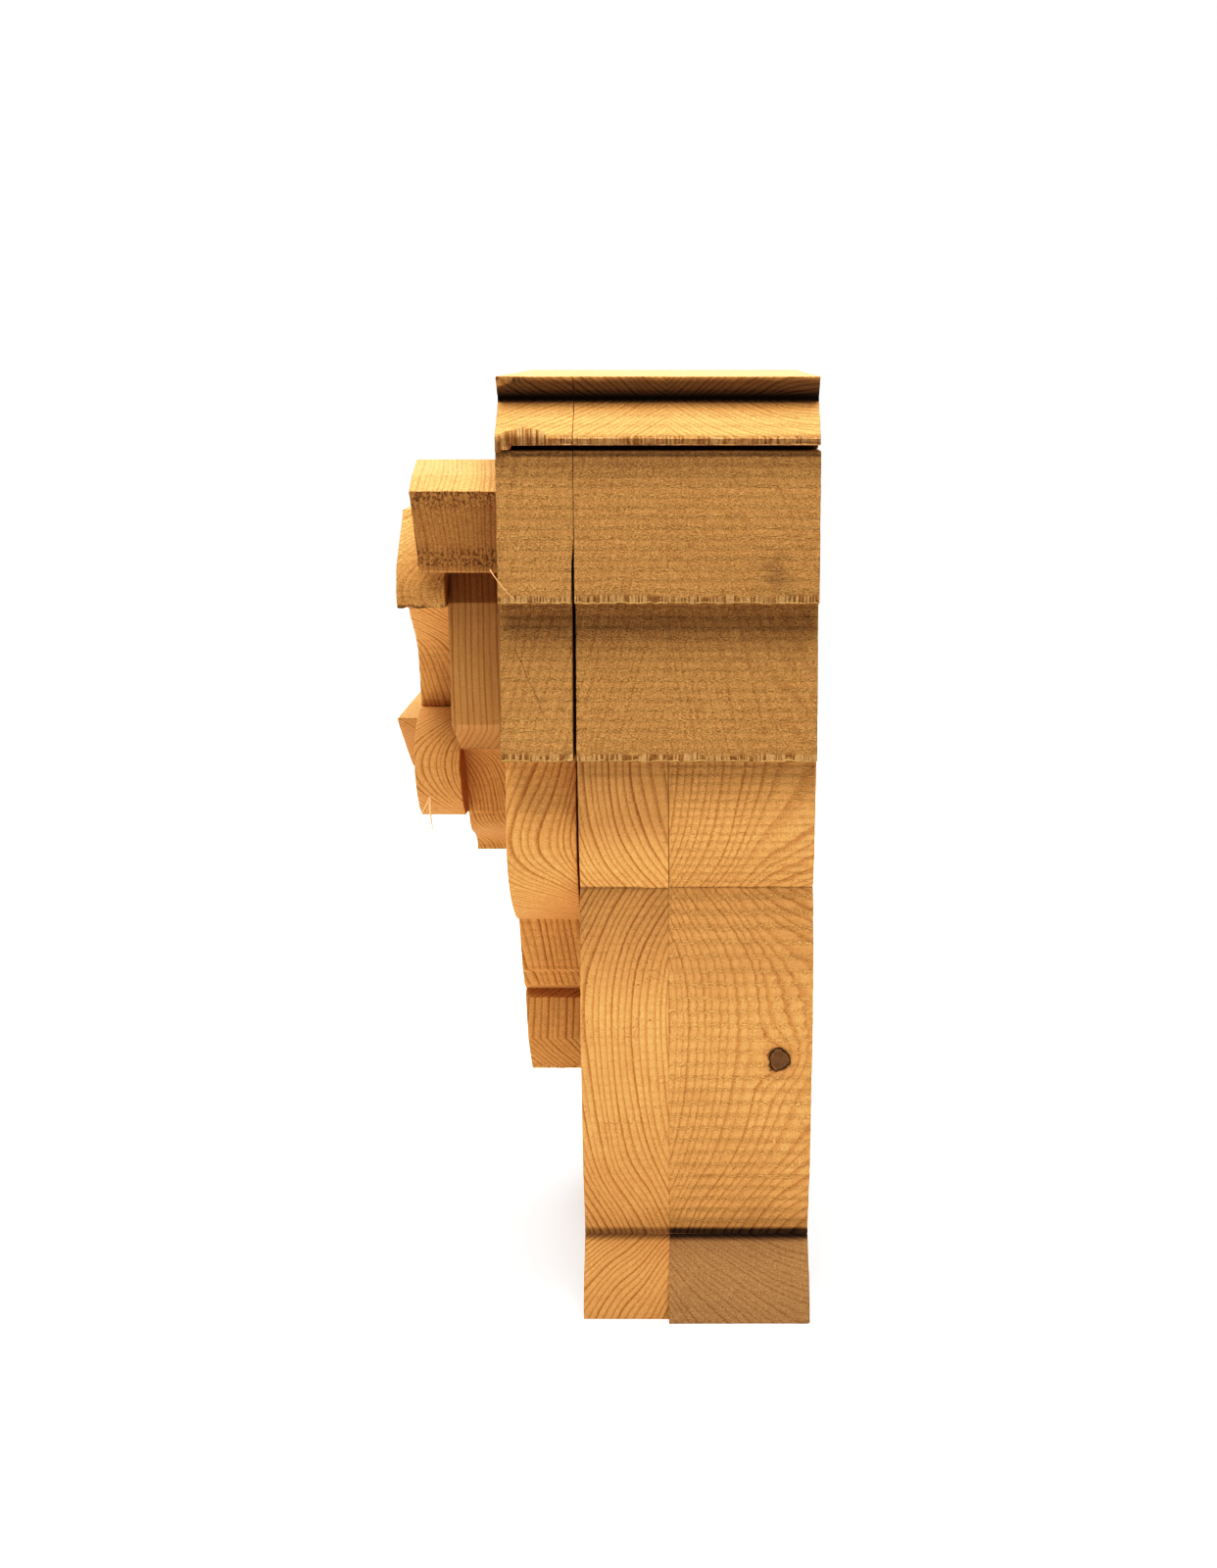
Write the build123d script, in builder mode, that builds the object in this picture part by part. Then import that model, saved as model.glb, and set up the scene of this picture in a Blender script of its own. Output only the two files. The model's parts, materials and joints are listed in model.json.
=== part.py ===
from build123d import *
import os

# A free-standing tower of sawn softwood block lengths, in millimetres.
# X runs to the right, Y to the back and Z up. The origin is the centre of the base of its bounding box.

# Overall
HEIGHT = 590.0
LENGTH = 267.0  # front to back of a full block
CAP_RISE = 4.0  # how much higher the cap is at the back than at its front edge
TOE = 10.0  # how far the feet reach out in front of the main face
FACE_Y = (TOE - LENGTH) / 2  # the main front face
BACK_Y = FACE_Y + LENGTH

# Columns, as edges along X from the left
F_WIDTH, E_WIDTH, D_WIDTH = 89.0, 54.5, 45.0
C_WIDTH, B_WIDTH, A_WIDTH = 38.0, 30.0, 15.5
RIGHT = (F_WIDTH + E_WIDTH + D_WIDTH + C_WIDTH + B_WIDTH + A_WIDTH) / 2
F_LEFT = RIGHT - F_WIDTH
E_LEFT = F_LEFT - E_WIDTH
D_LEFT = E_LEFT - D_WIDTH
C_LEFT = D_LEFT - C_WIDTH
B_LEFT = C_LEFT - B_WIDTH
A_LEFT = B_LEFT - A_WIDTH
SHOULDER_WIDTH = 52.0  # the upper left block, which laps over two columns
SHOULDER_BACK = 51.0

# Course lines, as heights
CAP_BASE = 544.0
UPPER_BASE = 455.5
MIDDLE_BASE = 361.0
LOWER_BASE = 278.0
FOOT_TOP = 45.0
LEDGE_TOP = 469.0
SHIN_TOP = 240.0
HEEL_TOP = 184.0
HEEL_BASE = 124.5
SIDE_LEAN = 2.5  # degrees, how far the left side of the shin and heel leans in

# Fits
SLIP = 0.3  # between a loose block and its neighbours
OPEN_JOINT = 1.8  # the open joint down the left of the middle column
OPEN_DEPTH = 80.0
KERF = 3.0  # the saw kerf under the cap's nose
KERF_DEPTH = 26.0
KERF_STOP = 9.0  # the kerf stops short of the left end
DOWEL_R = 5.0
DOWEL_REACH = 14.0  # into each of the two blocks
NUB_REACH = 9.0  # the same in the thin outermost block
DOWEL_FIT = 0.05  # radial, where a block pulls off its dowels
DOWEL_SPARE = 1.0  # hole depth past the dowel's end

# Front outlines from the top down, as (distance behind the main face, height)
CAP_FRONT = [(14, HEIGHT - CAP_RISE), (20, 577), (25, 572), (2, 551), (3, 548)]
UPPER_FRONT = [(5, CAP_BASE), (-2, UPPER_BASE)]
MIDDLE_FRONT = [(10, UPPER_BASE), (-1, MIDDLE_BASE)]
LOWER_FRONT = [(5, MIDDLE_BASE), (6.5, 335), (10, 310), (20, LOWER_BASE)]
LEG_FRONT = [(20, LOWER_BASE), (13, 262), (6, 240), (3, 215), (4, 159), (12, 95), (23, 55), (25, FOOT_TOP)]
FOOT_FRONTS = {"middle": [(25, FOOT_TOP), (10, 30), (-4, 0)], "right": [(25, FOOT_TOP), (8, 30), (-10, 0)]}
LOWER_LEFT_FRONT = [(26, MIDDLE_BASE), (19, 325), (18, 300), (36, 268), (80, SHIN_TOP)]
SHIN_FRONT = [(86, SHIN_TOP), (90, 202), (92, 200), (94, 190), (104, HEEL_TOP)]
HEEL_FRONT = [(104, HEEL_TOP), (98, 180), (96.5, 152), (102, 140), (111, HEEL_BASE)]
SHOULDER_FRONT = [(50, 537), (27, 529), (13, 520), (46, 469)]
PERCH_FRONT = [(92, 504), (69, 482), (55, 462), (57, 446)]
LEDGE_FRONT = [(81, LEDGE_TOP), (65, 448.5), (67.5, 371), (108, 347)]
LINTEL_FRONT = [(58, 522), (53, 517), (53, LEDGE_TOP)]
RECESS_FRONT = [(118, 347), (132, 336), (138, 324), (143, 296)]
TAIL_FRONT = [(146, 296), (150, 287), (171, 275), (192, 258)]
OUTER_FRONT = [(100, 446), (110, 434), (136, 411), (144, 383), (146, 369)]
BULGE_FRONT = [(135, 369), (118, 360), (109, 351), (106, 337), (111, 319), (134, 297)]
NUB_FRONT = [(140, 362), (149, 353), (184, 328), (203, 316)]

os.makedirs("parts", exist_ok=True)


def dowel_holes(seam, side, places, radius, depth):
    """Cuts blind holes across a seam plane into the block on one side of it (1 right, -1 left)."""
    with BuildSketch(Plane.YZ.offset(seam)) as rings:
        with Locations(*[(FACE_Y + back, up) for back, up in places]):
            Circle(radius)
    extrude(rings.sketch, amount=side * depth, mode=Mode.SUBTRACT)


def profile(left, width, front, back, lift, curved, rise=0.0):
    """A block: its front outline closed by a flat back, carried across its column."""
    low, top = front[-1][1] + lift, front[0][1] + rise
    edge = [(FACE_Y + reach, max(up, low)) for reach, up in front]
    with BuildSketch(Plane.YZ.offset(left)) as outline:
        with BuildLine():
            if curved:
                Spline(*edge)
            else:
                Polyline(*edge)
            Polyline(edge[-1], (FACE_Y + back, low), (FACE_Y + back, top), edge[0])
        make_face()
    extrude(outline.sketch, amount=width)


def save(piece, name):
    piece.part.label = name
    export_step(piece.part, f"parts/{name}.step")


def plain_block(name, left, width, front, back=LENGTH, lift=0.0, curved=False, holes=(), reach=DOWEL_REACH):
    """A block and its dowel holes, each as (seam, side, places, fit)."""
    with BuildPart() as block:
        profile(left, width, front, back, lift, curved)
        for seam, side, places, fit in holes:
            dowel_holes(seam, side, places, DOWEL_R + fit, reach + DOWEL_SPARE)
    save(block, name)


def dowels(name, seams, reach=DOWEL_REACH):
    """Dowels that cross seam planes, one solid each, as (seam, places)."""
    with BuildPart() as pegs:
        for seam, places in seams:
            with BuildSketch(Plane.YZ.offset(seam - reach)) as rings:
                with Locations(*[(FACE_Y + back, up) for back, up in places]):
                    Circle(DOWEL_R)
            extrude(rings.sketch, amount=2 * reach)
    save(pegs, name)


# Dowel places, as (distance behind the main face, height)
SHIN_PEGS = [(165, 212), (235, 212)]
HEEL_PEGS = [(165, 154), (235, 154)]
BRACKET_PEGS = [(85, 300), (225, 300)]
RECESS_PEGS = [(175, 322), (235, 335)]
TAIL_PEGS = [(215, 275)]
BULGE_PEGS = [(165, 312), (240, 328)]
NUB_PEGS = [(205, 340), (245, 340)]
SHOULDER_PEGS = [(40, 505)]

# Cap slabs, with the cove, the nose and the saw kerf under it
CAP_COLUMNS = {"left": (D_LEFT, D_WIDTH), "middle": (E_LEFT, E_WIDTH), "right": (F_LEFT, F_WIDTH)}
for side, (left, width) in CAP_COLUMNS.items():
    kerf_start = KERF_STOP if side == "left" else 0
    with BuildPart() as cap:
        profile(left, width - SLIP, CAP_FRONT + [(3, CAP_BASE)], LENGTH, SLIP, False, CAP_RISE)
        with BuildSketch(Plane.YZ.offset(left + kerf_start)):
            with Locations((FACE_Y, CAP_BASE)):
                Rectangle(KERF_DEPTH, KERF, align=(Align.MIN, Align.MIN))
        extrude(amount=width, mode=Mode.SUBTRACT)
    save(cap, f"cap_{side}")

# Upper course. The left block has the shoulder's dowel in its left face.
shoulder_hole = (D_LEFT, 1, SHOULDER_PEGS, 0)
plain_block("upper_left_block", D_LEFT, D_WIDTH - SLIP, UPPER_FRONT, lift=SLIP, holes=[shoulder_hole])
plain_block("upper_middle_block", E_LEFT, E_WIDTH - SLIP, UPPER_FRONT, lift=SLIP)
plain_block("upper_right_block", F_LEFT, F_WIDTH, UPPER_FRONT, lift=SLIP)


def open_joint():
    """The shallow rebate that shows as an open joint at the front of the left column's right face."""
    with BuildSketch(Plane.XY) as rebate:
        with Locations((E_LEFT, FACE_Y - TOE)):
            Rectangle(OPEN_JOINT, OPEN_DEPTH, align=(Align.MAX, Align.MIN))
    extrude(rebate.sketch, amount=HEIGHT, mode=Mode.SUBTRACT)


# Middle course
with BuildPart() as middle_left:
    profile(D_LEFT, D_WIDTH - SLIP, MIDDLE_FRONT, LENGTH, SLIP, False)
    open_joint()
save(middle_left, "middle_left_block")
plain_block("middle_middle_block", E_LEFT, E_WIDTH - SLIP, MIDDLE_FRONT, lift=SLIP)
plain_block("middle_right_block", F_LEFT, F_WIDTH, MIDDLE_FRONT, lift=SLIP)

# Lower course. Its left block is dowelled to the middle one and carries the side blocks.
with BuildPart() as lower_left:
    profile(D_LEFT, D_WIDTH, LOWER_LEFT_FRONT, LENGTH, 0, True)
    open_joint()
    dowel_holes(E_LEFT, -1, BRACKET_PEGS, DOWEL_R, DOWEL_REACH + DOWEL_SPARE)
    dowel_holes(D_LEFT, 1, RECESS_PEGS + TAIL_PEGS, DOWEL_R, DOWEL_REACH + DOWEL_SPARE)
save(lower_left, "lower_left_block")
bracket_holes = [(E_LEFT, 1, BRACKET_PEGS, 0)]
plain_block("lower_middle_block", E_LEFT, E_WIDTH, LOWER_FRONT, curved=True, holes=bracket_holes)
plain_block("lower_right_block", F_LEFT + SLIP, F_WIDTH - SLIP, LOWER_FRONT, lift=SLIP, curved=True)

# Legs and feet
LEG_HOLES = {"middle": [(E_LEFT, 1, SHIN_PEGS + HEEL_PEGS, 0)], "right": []}
for side, left, width in (("middle", E_LEFT, E_WIDTH), ("right", F_LEFT, F_WIDTH)):
    plain_block(f"leg_{side}", left, width, LEG_FRONT, curved=True, holes=LEG_HOLES[side])
    plain_block(f"foot_{side}", left, width, FOOT_FRONTS[side], curved=True)

# Shin and heel, which hang on dowels on the left of the middle leg. Their left side leans in downwards.
LEAN_PLANE = Plane(origin=(D_LEFT, 0, SHIN_TOP), z_dir=(-1, 0, 0)).rotated((0, SIDE_LEAN, 0))
for name, front, pegs in (("shin_block", SHIN_FRONT, SHIN_PEGS), ("heel_block", HEEL_FRONT, HEEL_PEGS)):
    with BuildPart() as hung:
        profile(D_LEFT, D_WIDTH - SLIP, front, LENGTH, SLIP, False)
        dowel_holes(E_LEFT, -1, pegs, DOWEL_R + DOWEL_FIT, DOWEL_REACH + DOWEL_SPARE)
        split(bisect_by=LEAN_PLANE, keep=Keep.BOTTOM)
    save(hung, name)

# Shoulder block, which hangs on a dowel on the left of the upper course
plain_block(
    "shoulder_block",
    D_LEFT - SHOULDER_WIDTH,
    SHOULDER_WIDTH - SLIP,
    SHOULDER_FRONT,
    back=SHOULDER_BACK,
    holes=[(D_LEFT, -1, SHOULDER_PEGS, DOWEL_FIT)],
)

# Side blocks in the first column left of the tower
plain_block("ledge_block", C_LEFT + SLIP, C_WIDTH - 2 * SLIP, LEDGE_FRONT, lift=SLIP)
plain_block("lintel_block", C_LEFT + SLIP, C_WIDTH - 2 * SLIP, LINTEL_FRONT, lift=SLIP)
recess_holes = [(D_LEFT, -1, RECESS_PEGS, 0), (C_LEFT, 1, BULGE_PEGS, 0)]
plain_block("recess_block", C_LEFT, C_WIDTH, RECESS_FRONT, curved=True, holes=recess_holes)
plain_block("tail_block", C_LEFT, C_WIDTH, TAIL_FRONT, curved=True, holes=[(D_LEFT, -1, TAIL_PEGS, 0)])

# Side blocks in the second column, and the nub outside them
bulge_holes = [(C_LEFT, -1, BULGE_PEGS, 0), (B_LEFT, 1, NUB_PEGS, 0)]
plain_block("bulge_block", B_LEFT, B_WIDTH, BULGE_FRONT, curved=True, holes=bulge_holes)
plain_block("outer_block", B_LEFT, B_WIDTH, OUTER_FRONT, lift=SLIP, curved=True)
plain_block("perch_block", B_LEFT, B_WIDTH, PERCH_FRONT, lift=SLIP, curved=True)
nub_hole = (B_LEFT, -1, NUB_PEGS, DOWEL_FIT)
plain_block("nub_block", A_LEFT, A_WIDTH - SLIP, NUB_FRONT, holes=[nub_hole], reach=NUB_REACH)

# Dowels, grouped by the seams they cross
dowels("dowels_leg", [(E_LEFT, SHIN_PEGS + HEEL_PEGS)])
dowels("dowels_bracket", [(E_LEFT, BRACKET_PEGS), (D_LEFT, RECESS_PEGS + TAIL_PEGS), (C_LEFT, BULGE_PEGS)])
dowels("dowel_shoulder", [(D_LEFT, SHOULDER_PEGS)])
dowels("dowels_nub", [(B_LEFT, NUB_PEGS)], reach=NUB_REACH)
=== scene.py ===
"""The looks of a tower of sawn softwood blocks: worn block meshes, solid wood grain, light and camera."""

import json
import math

import bmesh
import bpy
import numpy as np
from mathutils import Matrix, Vector


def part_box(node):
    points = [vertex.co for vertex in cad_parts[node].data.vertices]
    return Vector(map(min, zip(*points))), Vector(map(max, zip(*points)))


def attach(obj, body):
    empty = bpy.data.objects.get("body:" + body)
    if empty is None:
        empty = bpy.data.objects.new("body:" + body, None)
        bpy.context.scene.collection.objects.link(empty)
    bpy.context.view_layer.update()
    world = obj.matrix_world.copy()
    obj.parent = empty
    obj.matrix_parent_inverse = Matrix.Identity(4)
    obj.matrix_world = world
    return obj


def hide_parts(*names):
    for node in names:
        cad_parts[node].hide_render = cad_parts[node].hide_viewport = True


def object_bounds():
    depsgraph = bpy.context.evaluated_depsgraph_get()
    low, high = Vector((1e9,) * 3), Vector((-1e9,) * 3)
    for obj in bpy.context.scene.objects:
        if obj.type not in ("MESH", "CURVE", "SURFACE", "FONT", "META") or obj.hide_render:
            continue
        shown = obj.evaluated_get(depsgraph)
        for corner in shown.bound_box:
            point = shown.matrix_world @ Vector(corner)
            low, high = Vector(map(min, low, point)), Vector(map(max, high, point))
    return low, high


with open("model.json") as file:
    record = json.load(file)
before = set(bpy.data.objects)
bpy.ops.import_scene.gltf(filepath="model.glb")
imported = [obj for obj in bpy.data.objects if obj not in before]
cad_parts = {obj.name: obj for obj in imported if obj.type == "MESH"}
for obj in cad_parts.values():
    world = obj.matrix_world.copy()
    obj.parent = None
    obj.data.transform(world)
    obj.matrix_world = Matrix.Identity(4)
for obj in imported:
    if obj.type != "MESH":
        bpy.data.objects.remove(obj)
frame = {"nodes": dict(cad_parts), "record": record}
cad_low, cad_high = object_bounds()
MM = 0.001
TOE = 10.0  # how far the feet reach out in front of the main face
FACE_Y = cad_low[1] / MM + TOE
FOOT_TOP = 45.0
NOSE_TOP = 551.0  # the upper edge of the cap's nose
KERF_END = -44.0  # the left end of the open joint under the cap
NOSE_TALL, NOSE_DEEP = 8.5, 6  # the torn part of the nose
SLAB_EDGE = 3  # the ragged upper edge of the cap
COVE_LOW, COVE_HIGH = 19.5, 17.0  # below the cap's top: where its painted dark shade on the front starts, from the nose up
EDGE_LOW, EDGE_HIGH = 7.5, 3.5  # below the cap's top: where its painted shade turns pale again

# ---------------------------------------------------------------- noise


def lattice(i, j, seed):
    """A fixed pseudo-random number from -1 to 1 for each whole-number lattice place."""
    n = (i.astype(np.int64) * 374761393 + j.astype(np.int64) * 668265263 + seed * 974711) & 0xFFFFFFFF
    n = ((n ^ (n >> 13)) * 1274126177) & 0xFFFFFFFF
    return ((n ^ (n >> 16)) & 0xFFFF) / 32767.5 - 1


def noise(u, v, seed=0):
    """Smooth value noise from -1 to 1, with a cell of one unit."""
    i, j = np.floor(u), np.floor(v)
    s, t = u - i, v - j
    s, t = s * s * (3 - 2 * s), t * t * (3 - 2 * t)
    low = lattice(i, j, seed) * (1 - s) + lattice(i + 1, j, seed) * s
    high = lattice(i, j + 1, seed) * (1 - s) + lattice(i + 1, j + 1, seed) * s
    return low * (1 - t) + high * t


def ramp(value, low, high):
    """0 below low, 1 above high, smooth between."""
    t = np.clip((value - low) / (high - low), 0, 1)
    return t * t * (3 - 2 * t)


# ---------------------------------------------------------------- block shapes


def side_outline(node, high):
    """The (y, z) loop of a CAD block's left face, or right if high, in mm, anticlockwise."""
    bm = bmesh.new()
    bm.from_mesh(frame["nodes"][node].data)
    bmesh.ops.remove_doubles(bm, verts=bm.verts, dist=1e-6)
    plane = (max if high else min)(v.co.x for v in bm.verts)
    faces = {f for f in bm.faces if all(abs(v.co.x - plane) < 1e-5 for v in f.verts)}
    nexts = {}
    for edge in bm.edges:
        if sum(f in faces for f in edge.link_faces) == 1:
            a, b = edge.verts
            nexts.setdefault(a.index, []).append(b.index)
            nexts.setdefault(b.index, []).append(a.index)
    bm.verts.ensure_lookup_table()
    place = {i: np.array((bm.verts[i].co.y, bm.verts[i].co.z)) / MM for i in nexts}
    bm.free()
    loops = []
    while nexts:
        at = min(nexts)
        loop = [at]
        while True:
            onward = [k for k in nexts.get(at, []) if k not in loop[-2:]]
            if not onward or onward[0] == loop[0] or onward[0] in loop:
                break
            at = onward[0]
            loop.append(at)
        loops.append(np.array([place[i] for i in loop]))
        for i in loop:
            nexts.pop(i, None)
    loop = max(loops, key=lambda points: np.ptp(points[:, 0]) + np.ptp(points[:, 1]))
    y, z = loop.T
    if np.sum(y * np.roll(z, -1) - np.roll(y, -1) * z) < 0:
        loop = loop[::-1]
    return loop


def rounded(loop, radius):
    """The loop with each sharp corner replaced by a small worn curve."""
    made = []
    for k in range(len(loop)):
        before, at, after = loop[k - 1], loop[k], loop[(k + 1) % len(loop)]
        into, out = at - before, after - at
        long_in, long_out = np.hypot(*into), np.hypot(*out)
        if min(long_in, long_out) < 1e-4:
            continue
        into, out = into / long_in, out / long_out
        turn = math.acos(float(np.clip(into @ out, -1, 1)))
        if turn < 0.35:
            made.append(at)
            continue
        cut = min(radius * math.tan(turn / 2), 0.4 * long_in, 0.4 * long_out)
        for t in (0.0, 0.3, 0.7, 1.0):
            start, end = at - into * cut, at + out * cut
            made.append(start * (1 - t) ** 2 + at * 2 * t * (1 - t) + end * t * t)
    return np.array(made)


FINE = 1.1  # the spacing of points on the sawn fronts, mm
COARSE = 9.0
SUPPORT = 0.4  # how close the points stand to each corner, so that its shading stays narrow


def resampled(loop):
    """Points along the loop, close on the front and further apart towards the back."""
    front = loop[:, 0].min()
    made = []
    for a, b in zip(loop, np.roll(loop, -1, axis=0)):
        run = b - a
        length = np.hypot(*run)
        if length < 1e-4:
            continue
        faces_front = run[1] / length < -0.12
        snug = SUPPORT if length > 5 * SUPPORT and min(a[0], b[0]) > front + 40 else 0.0
        at, end = snug, length - snug
        places = [0.0]
        while at < end - 0.25:
            if at > 0:
                places.append(at)
            back = (a + run * at / length)[0] - front
            gap = FINE if faces_front else min(max(FINE, 0.16 * back), COARSE)
            at += (end - at) / max(round((end - at) / gap), 1)
        if snug:
            places.append(end)
        made += [a + run * place / length for place in places]
    return np.array(made)


def outward(loop):
    """Unit normals of the loop's points."""
    along = np.roll(loop, -1, axis=0) - np.roll(loop, 1, axis=0)
    normal = np.stack([along[:, 1], -along[:, 0]], 1)
    return normal / np.maximum(np.hypot(*normal.T), 1e-9)[:, None]


EDGE_STEPS = (0.0, 0.2, 0.55, 1.0)  # rows of the worn side edges, as shares of the edge radius


def triangles(loop):
    """The outline filled with triangles, as indices of its points."""
    outline = bpy.data.meshes.new("outline")
    outline.from_pydata([(0, y, z) for y, z in loop], [], [tuple(range(len(loop)))])
    outline.calc_loop_triangles()
    made = [tuple(t.vertices) for t in outline.loop_triangles]
    bpy.data.meshes.remove(outline)
    return made


def block_mesh(
    name,
    node,
    shape,
    edges=(0.7, 0.7),
    worn=0.7,
    high=False,
    relief=None,
    lean=None,
    grow=0.0,
    shade=None,
):
    """A worn block: the CAD outline swept across the block's width, its front pushed in and out by shape.

    shape(x, y, z, front) gives (outward push, upward push, push to the back, torn) for every point.
    high takes the outline from its right face. edges are the radii of its left and right edges, and worn is
    that of its outline's corners.
    relief is (depth, width, height) of an open joint at the front of its right side, below that height.
    lean is (height, slope) of a left side that leans in below that height.
    grow moves the right side out, to close a joint that doesn't show.
    shade(x, y, z, front) gives the painted shade on the wood: 1 is dark brown, and 1.4 nearly black.
    """
    low, top = (np.array(c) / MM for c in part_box(node))
    top[0] += grow
    loop = resampled(rounded(side_outline(node, high), worn))
    normal = outward(loop)
    left, right = low[0], top[0]
    near_edge, far_edge = edges
    inner = np.linspace(left + near_edge, right - far_edge, max(int((right - left) / FINE), 3) + 1)
    near = np.array([left + near_edge * s for s in EDGE_STEPS[:-1]])
    far = np.array([right - far_edge * s for s in EDGE_STEPS[:-1]])[::-1]
    rows = np.concatenate([near, inner, far])
    inset = np.zeros(len(rows))
    for k, share in enumerate(EDGE_STEPS[:-1]):
        drop = 1 - math.sqrt(1 - (1 - share) ** 2)
        inset[k], inset[-1 - k] = near_edge * drop, far_edge * drop
    n, m = len(loop), len(rows)
    x = np.repeat(rows[:, None], n, 1)
    y = loop[None, :, 0] - normal[None, :, 0] * inset[:, None]
    z = loop[None, :, 1] - normal[None, :, 1] * inset[:, None]
    front = np.repeat(ramp(-normal[None, :, 0], 0.05, 0.35), m, 0)
    push, lift, back, torn = shape(x, y, z, front)
    painted_shade = shade(x, y, z, front) if shade else np.zeros_like(x)
    y = y + normal[None, :, 0] * push + back
    z = z + normal[None, :, 1] * push + lift
    if relief:
        depth, width, height = relief
        share = np.clip((x - left) / (right - left), 0, 1)
        opened = (1 - ramp(y - low[1], depth - 1, depth + 1)) * ramp(height - z, 0.0, 22.0)
        x = x - share * width * opened
    if lean:
        height, slope = lean
        share = np.clip((right - x) / (right - left), 0, 1)
        x = x + share * slope * np.maximum(height - z, 0)
    sides = noise(z / 5.0, y / 60, 77) + 0.5 * noise(z / 1.7, y / 30, 78)
    x = x + front * 0.16 * sides * ((x < left + 2.5) & (near_edge > 0.3))
    x = x - front * 0.16 * sides * ((x > right - 2.5) & (far_edge > 0.3))
    points = np.stack([x, y, z], 2)
    rim = 1 if shade else 0  # a second copy of the outermost rows keeps the front's painted shade off the sides
    wanted = np.arange(-rim, m + rim)
    used = np.clip(wanted, 0, m - 1)
    own = (wanted == used)[:, None]
    torn, painted_shade = torn[used] * own, painted_shade[used] * own
    verts = points[used].reshape(-1, 3) * MM
    a = np.arange(len(used) - 1)[:, None] * n + np.arange(n)[None, :]
    b = np.arange(len(used) - 1)[:, None] * n + (np.arange(n)[None, :] + 1) % n
    quads = np.stack([a, a + n, b + n, b], 2).reshape(-1, 4)
    last = (len(used) - 1) * n
    flat_sides = triangles(loop)
    flat_sides += [(c + last, b + last, a + last) for a, b, c in flat_sides]
    mesh = bpy.data.meshes.new(name)
    mesh.from_pydata(verts.tolist(), [], quads.tolist() + flat_sides)
    for label, values in (("torn", torn), ("dark", painted_shade)):
        mark = mesh.attributes.new(label, "FLOAT", "POINT")
        mark.data.foreach_set("value", values.reshape(-1).astype(np.float32))
    order = np.arange(len(mesh.polygons))
    mesh.polygons.foreach_set("use_smooth", (order >= rim * n) & (order < len(quads) - rim * n))
    mesh.validate()
    made = bpy.data.objects.new(name, mesh)
    bpy.context.scene.collection.objects.link(made)
    return made


# ---------------------------------------------------------------- sawn surfaces


def sawn(
    seed,
    band=0.10,
    band_pitch=6.0,
    rough=0.07,
    wave=0.25,
    fringe=0.0,
    fringe_height=6.0,
    jag=0.15,
    washboard=None,
    sink=0.0,
):
    """A shape function: saw bands, roughness and slow waves, and torn fibres along the lower edge.

    washboard is (depth, pitch, lowest, highest) of level ripples, and sink lowers the underside.
    """

    def shape(x, y, z, front):
        bottom = z.min()
        bands = noise(x / 160, z / band_pitch, seed) + 0.5 * noise(x / 60, z / (band_pitch * 0.45), seed + 1)
        grit = noise(x / 2.4, z / 1.5, seed + 2) + 0.7 * noise(x / 5.5, z / 1.2, seed + 3)
        slow = noise(x / 38, z / 30 + y / 60, seed + 4)
        push = front * (band * bands + rough * grit + wave * (slow - 0.4))
        if washboard:
            amount, pitch, low, high = washboard
            inside = ramp(z, low, low + 25) * (1 - ramp(z, high - 6, high))
            wobble = z + 0.5 * noise(x / 60, z / 30, seed + 5)
            push = push + front * inside * amount * np.cos(2 * np.pi * wobble / pitch)
        torn = np.zeros_like(x)
        lift = np.zeros_like(x)
        if fringe:
            fibre = noise(x / 2.6, z / 60, seed + 6) + 0.6 * noise(x / 1.3, z / 40, seed + 7)
            reach = fringe_height * (0.82 + 0.22 * noise(x / 7, x * 0, seed + 8))
            near = 1 - ramp(z - bottom, reach * 0.75, reach)
            push = push - front * near * fringe * (0.75 + 0.6 * fibre)
            torn = front * near * (0.85 + 0.25 * fibre) + 0.5 * front * (z - bottom < 0.9)
            edge = (1 - ramp(z - bottom, 0.5, 3.5)) * (y - y.min() < 9)
            ragged = noise(x / 3.1, x * 0, seed + 9) + 0.5 * noise(x / 1.2, x * 0, seed + 10)
            lift = edge * fringe * 0.7 * ragged
        lift = lift - sink * (z < z.min() + 0.3)
        edges = np.minimum(z - z.min(), z.max() - z)
        lift = lift + front * (edges < 2.0) * jag * noise(x / 6, x * 0, seed + 11)
        return push, lift, np.zeros_like(x), np.clip(torn, 0, 1.4)

    return shape


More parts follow.
